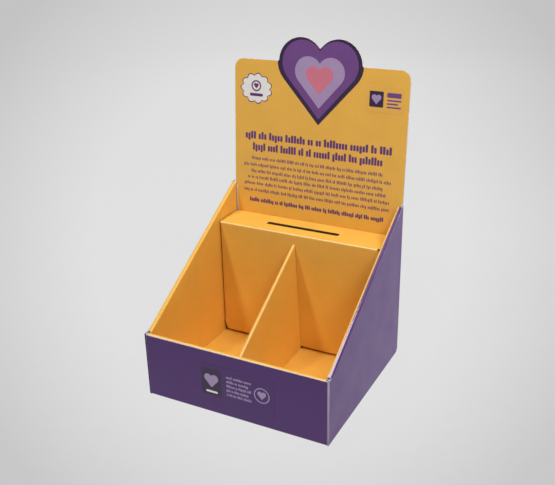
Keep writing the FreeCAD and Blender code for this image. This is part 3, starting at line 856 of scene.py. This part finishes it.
def header_outline():
    """Die-cut edge of the header card and its tongue."""
    reach = LOBE_RADIUS + NECK_RADIUS
    neck_rise = HEADER_RISE + NECK_RADIUS
    neck_offset = LOBE_OFFSET + math.sqrt(reach ** 2 - (neck_rise - LOBE_RISE) ** 2)
    neck_angle = math.degrees(math.asin((neck_rise - LOBE_RISE) / reach))
    cleft_rise = LOBE_RISE + math.sqrt(reach ** 2 - LOBE_OFFSET ** 2)
    cleft_angle = math.degrees(math.acos(LOBE_OFFSET / reach))
    corner_rise = HEADER_RISE - HEADER_RADIUS
    half = arc((HEADER_RIGHT - HEADER_RADIUS, corner_rise), HEADER_RADIUS, 0, 90, 12)
    half += arc((HEART_X + neck_offset, neck_rise), NECK_RADIUS, 270, 180 + neck_angle, 6)
    half += arc((HEART_X + LOBE_OFFSET, LOBE_RISE), LOBE_RADIUS, neck_angle, 180 - cleft_angle, 36)[1:]
    half += arc((HEART_X, cleft_rise), NECK_RADIUS, -cleft_angle, -90, 6)[1:]
    lobes = half[13:]
    left = [(2 * HEART_X - x, v) for x, v in reversed(lobes)][1:]
    left += arc((HEADER_LEFT + HEADER_RADIUS, corner_rise), HEADER_RADIUS, 90, 180, 12)
    step = 0.5
    edge = TONGUE_LEFT - PAINTED_LIGHT_STRIP
    tongue = [(edge, step), (edge, TONGUE_FOOT + TONGUE_CORNER), (edge + TONGUE_CORNER, TONGUE_FOOT),
              (TONGUE_RIGHT - TONGUE_CORNER, TONGUE_FOOT), (TONGUE_RIGHT, TONGUE_FOOT + TONGUE_CORNER),
              (TONGUE_RIGHT, SHOULDER_RISE), (HEADER_RIGHT, SHOULDER_RISE)]
    return half + left + [(HEADER_LEFT, step)] + tongue


# Rows of greeked print on the header: middle height, left end, right end, letter height, share of ink
ROWS = (
    (55.0, -78.8, 81.5, 6.0, 0.80),
    (43.3, -70.2, 72.6, 6.0, 0.80),
    (31.6, -71.3, 73.3, 2.8, 0.60),
    (24.5, -80.4, 82.4, 2.8, 0.60),
    (17.7, -71.8, 74.1, 2.8, 0.60),
    (11.2, -75.8, 77.6, 2.8, 0.60),
    (4.4, -79.8, 81.6, 2.8, 0.60),
    (-2.9, -80.5, 81.6, 2.8, 0.60),
    (-14.0, -74.2, 76.1, 3.6, 0.84),
)


def greeked_row(draw, middle, left, right, height, fill):
    """Row of plain blocks in word-like groups from left to right; fill is a block's share of its place."""
    steps = []
    while sum(steps) * height < (right - left) * 1.12:
        steps += [0.9] * draw.randint(2, 8) + [-0.7]
    steps = steps[:-1]
    scale = (right - left) / (sum(abs(s) for s in steps))
    x = left
    for step in steps:
        width = abs(step) * scale
        if step > 0:
            kind = draw.random()
            top = middle + height * (0.5 if kind > 0.36 else 0.85)
            bottom = middle - height * (0.5 if kind < 0.9 else 0.8)
            yield rounded(x, x + fill * width, bottom, top, min(0.3 * height, 0.3 * width), 2)
        x += width


def coin_pictogram(x, y, size):
    """Coin above a slot, as loops with their inks."""
    slot = rounded(x - 7.5 * size, x + 7.5 * size, y - 8 * size, y - 5 * size, 1.4 * size)
    rim = circle(x, y + 2.5 * size, 5.6 * size)
    face = circle(x, y + 2.5 * size, 4.2 * size)
    mark = heart(x, y + 3.6 * size, 0.062 * size, steps=8)
    return [(slot, "text"), (rim, "text"), (face, "ivory"), (mark, "text")]


def header_print():
    """Heart, badge and greeked rows printed on the header, from the back layer to the front."""
    drop = LOBE_RISE - HEART_TIP
    middle = LOBE_RISE - 0.3 * drop
    layers = [(heart(HEART_X, LOBE_RISE, 1.035, drop + 1.0), "plum"),
              (heart(HEART_X, LOBE_RISE - 0.4, 0.915, drop - 5.2), "purple"),
              (heart(HEART_X, middle + 9.5, 0.60, 0.60 * drop), "lilac"),
              (heart(HEART_X, middle + 7.0, 0.33, 0.33 * drop), "pink")]
    badge_x, badge_y = -66.4, 104.0
    layers += [(scallop(badge_x, badge_y, 18.4, 15.8, 11, 0.16), "text"),
               (scallop(badge_x, badge_y, 17.3, 14.7, 11, 0.16), "white")]
    layers += coin_pictogram(badge_x, badge_y, 1.0)
    draw = random.Random(7)
    for row in ROWS:
        layers += [(block, "text") for block in greeked_row(draw, *row)]
    return layers


def header_board(name, outline, ink, **settings):
    """Sheet drawn on the header's front face, set at the crease above which the callers lean it back."""
    return Board(name, outline, ink, (0, TONGUE_FRONT, CREASE_Z), ACROSS_X, UP, **settings)


def header():
    """Tongue and card in one sheet that bends at the crease."""
    board = header_board("header", header_outline(), YELLOW)
    # Painted light: white strip along the tongue's left edge, standing for the lit liner in the gap beside it.
    board.ink(rectangle(HEADER_LEFT - 1, TONGUE_LEFT, TONGUE_FOOT - 1, 0), INKS["white"])
    for loop, ink in header_print():
        board.ink(loop, INKS[ink])
    board.crease((HEADER_LEFT, 0), (HEADER_RIGHT, 0), HEADER_LEAN, LEAN_RADIUS, wear_and_highlight=(0.3, 0.3))
    made = board.build(edge=RAW_PALE)
    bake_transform(made)
    finish_piece(made, None, ["header_tongue", "header_card"])


def labels():
    """Thin paper labels on the header card and on the front panel."""
    box = (52.0, 89.6, 92.0, 117.0)
    outline = rounded(*box, LABEL_RADIUS)
    board = header_board("header_sticker", outline, LABEL_YELLOW, thickness=LABEL, lift=LABEL)
    board.ink(rounded(55.5, 69.5, 97.0, 112.0, 1.0), INKS["plum"])
    board.ink(heart(62.5, 106.2, 0.11, steps=10), INKS["lilac"])
    board.ink(rounded(73.0, 87.0, 106.8, 111.4, 1.0), INKS["purple"])
    for i in range(3):
        board.ink(rounded(73.0, 87.0 - 3 * (i % 2), 103.4 - 3.2 * i, 104.9 - 3.2 * i, 0.6), INKS["purple"])
    board.crease((HEADER_LEFT, 0), (HEADER_RIGHT, 0), HEADER_LEAN, LEAN_RADIUS)
    finish_piece(board.build(LABEL_YELLOW, LABEL_YELLOW), "header_card", ["header_label"])

    first, last = low("front_label"), high("front_label")
    outline = rounded(first.x, last.x, first.z, last.z, LABEL_RADIUS)
    board = Board("front_sticker", outline, LABEL_PURPLE, (0, FRONT, 0), ACROSS_X, UP,
                  thickness=LABEL, lift=LABEL)
    board.ink(rounded(-33.5, -12.5, 19.0, 47.5, 1.2), INKS["plum"])
    board.ink(heart(-23.0, 37.6, 0.17, steps=10), INKS["lilac"])
    board.ink(rounded(-29.2, -16.8, 22.0, 24.2, 1.0), INKS["white"])
    draw = random.Random(11)
    for i in range(5):
        for block in greeked_row(draw, 42.6 - 4.6 * i, -7.0, 19.0 - 3.0 * (i % 2), 2.2, 0.7):
            board.ink(block, INKS["lilac"])
    board.ink(circle(29.5, 33.5, 8.0), INKS["lilac"])
    board.ink(circle(29.5, 33.5, 6.9), LABEL_PURPLE)
    board.ink(heart(29.5, 35.2, 0.10, steps=10), INKS["lilac"])
    finish_piece(board.build(LABEL_PURPLE, LABEL_PURPLE), "tray", ["front_label"])


side_wall("left", True, 0.05, ((0.8, 0.7), (0.4, 0.4)), (0, 0), RAW_DUSK)
side_wall("right", False, 0.6, ((0.1, 0.1), (0.9, 0.75)), (1.5, -0.3), RAW)
front_wall()
base()
back_panel()
rear_door()
money_box()
divider()
header()
labels()
for name in ("front_left_tab", "front_right_tab", "back_left_tab", "back_right_tab", "header_stop"):
    node = frame["nodes"][name]
    node.data.materials.clear()
    node.data.materials.append(LINER)


# Camera, light and floor

CAMERA_AZIMUTH = 27.765
CAMERA_ELEVATION = 23.413
CAMERA_ROLL = -1.255
CAMERA_PLACE = (0.32524, -0.61328, 0.44303)
CAMERA_LENS = 52.109
FLOOR_GLOW = 0.95
FLOOR_PAINTED_FALLOFF = (0.92, 0.975, 0.575, 0.755)    # painted falloff of light: two cosines off the axis of the view, and the floor's tones there


def camera_axes():
    """Right, top and back directions of the camera."""
    azimuth, elevation, roll = (math.radians(a) for a in (CAMERA_AZIMUTH, CAMERA_ELEVATION, CAMERA_ROLL))
    back = Vector((math.sin(azimuth) * math.cos(elevation), -math.cos(azimuth) * math.cos(elevation),
                   math.sin(elevation)))
    right = (-back).cross(UP).normalized()
    above = right.cross(-back)
    side = right * math.cos(roll) + above * math.sin(roll)
    top = above * math.cos(roll) - right * math.sin(roll)
    return side, top, back


def camera():
    """Camera at the photograph's viewpoint."""
    data = bpy.data.cameras.new("camera")
    data.sensor_fit = "HORIZONTAL"
    data.sensor_width = 36.0
    data.lens = CAMERA_LENS
    made = bpy.data.objects.new("camera", data)
    made.matrix_world = Matrix.Translation(CAMERA_PLACE) @ Matrix(camera_axes()).transposed().to_4x4()
    bpy.context.scene.collection.objects.link(made)
    bpy.context.scene.camera = made


def softbox(name, place, aim, size, power, colour=(1, 1, 1)):
    """Square area lamp that points at a spot."""
    data = bpy.data.lights.new(name, "AREA")
    data.shape = "SQUARE"
    data.size = size
    data.energy = power
    data.color = colour
    made = bpy.data.objects.new(name, data)
    made.location = place
    made.rotation_euler = (Vector(aim) - Vector(place)).to_track_quat("-Z", "Y").to_euler()
    bpy.context.scene.collection.objects.link(made)


def floor():
    """Pale floor, painted brightest along the view's axis and darker away from it as a falloff of light, which
    keeps a faint shadow.
    """
    data = bpy.data.meshes.new("floor")
    reach, drop = 12.0, -0.0002
    data.from_pydata([(x, y, drop) for x, y in circle(0, 0, reach, 64)], [], [list(range(64))])
    n = Nodes("floor")
    place = n.add("TexCoord", "Object")
    dust = n.noise(place, 60.0, 3.0)
    away = n.add("VectorMath", 0, {0: place, 1: CAMERA_PLACE}, operation="SUBTRACT")
    away = n.add("VectorMath", 0, {0: away}, operation="NORMALIZE")
    off_axis = n.add("VectorMath", 1, {0: away, 1: -camera_axes()[2]}, operation="DOT_PRODUCT")
    # Painted light: the floor is brightest where the view's axis meets it and darker off the axis.
    painted_falloff = n.span(off_axis, *FLOOR_PAINTED_FALLOFF)
    tone = n.math("MULTIPLY", painted_falloff, n.span(dust, 0.3, 0.7, 0.995, 1.005))
    shade = n.shade((1.0, 0.998, 1.0), tone)
    n.finish(shade, 0.9)
    glow = n.tree.nodes.new("ShaderNodeEmission")
    n.set(glow.inputs["Color"], shade)
    path = n.tree.nodes.new("ShaderNodeLightPath")
    seen = n.math("MAXIMUM", path.outputs["Is Camera Ray"], path.outputs["Is Glossy Ray"])
    seen = n.math("MULTIPLY", n.math("MAXIMUM", seen, path.outputs["Is Transmission Ray"]), FLOOR_GLOW)
    blend = n.tree.nodes.new("ShaderNodeMixShader")
    n.set(blend.inputs[0], seen)
    n.set(blend.inputs[1], n.shader.outputs[0])
    n.set(blend.inputs[2], glow.outputs[0])
    n.set(n.tree.nodes["Material Output"].inputs[0], blend.outputs[0])
    data.materials.append(n.material)
    made = bpy.data.objects.new("floor", data)
    bpy.context.scene.collection.objects.link(made)


def light():
    """Keys from the upper left, right and above, fills from the right and the back, and a faint surround."""
    softbox("left_key", (-0.52, -0.85, 1.40), (0, 0, 0.1), 0.16, 8.7)
    softbox("right_key", (0.95, -0.55, 1.35), (0, 0, 0.1), 0.5, 12.6)
    softbox("top", (0.0, 0.0, 1.7), (0, 0, 0.1), 0.8, 10.9)
    softbox("fill", (1.4, -0.05, 0.65), (0, 0, 0.12), 1.0, 1.6)
    softbox("sheen", (0.54, 0.62, 0.18), (0.1, 0.07, 0.14), 0.3, 3.1)
    softbox("rear_fill", (-0.5, 1.5, 0.7), (0, 0, 0.12), 0.8, 5.5)
    world = bpy.data.worlds.new("surround")
    world.use_nodes = True
    tree = world.node_tree
    dim = tree.nodes["Background"]
    dim.inputs["Color"].default_value = (0.9, 0.92, 0.95, 1)
    dim.inputs["Strength"].default_value = 0.05
    seen = tree.nodes.new("ShaderNodeBackground")
    seen.inputs["Color"].default_value = (0.56, 0.56, 0.56, 1)
    blend = tree.nodes.new("ShaderNodeMixShader")
    tree.links.new(tree.nodes.new("ShaderNodeLightPath").outputs["Is Camera Ray"], blend.inputs[0])
    tree.links.new(dim.outputs[0], blend.inputs[1])
    tree.links.new(seen.outputs[0], blend.inputs[2])
    tree.links.new(blend.outputs[0], tree.nodes["World Output"].inputs[0])
    bpy.context.scene.world = world


camera()
floor()
light()
bpy.context.scene.view_settings.view_transform = "Standard"
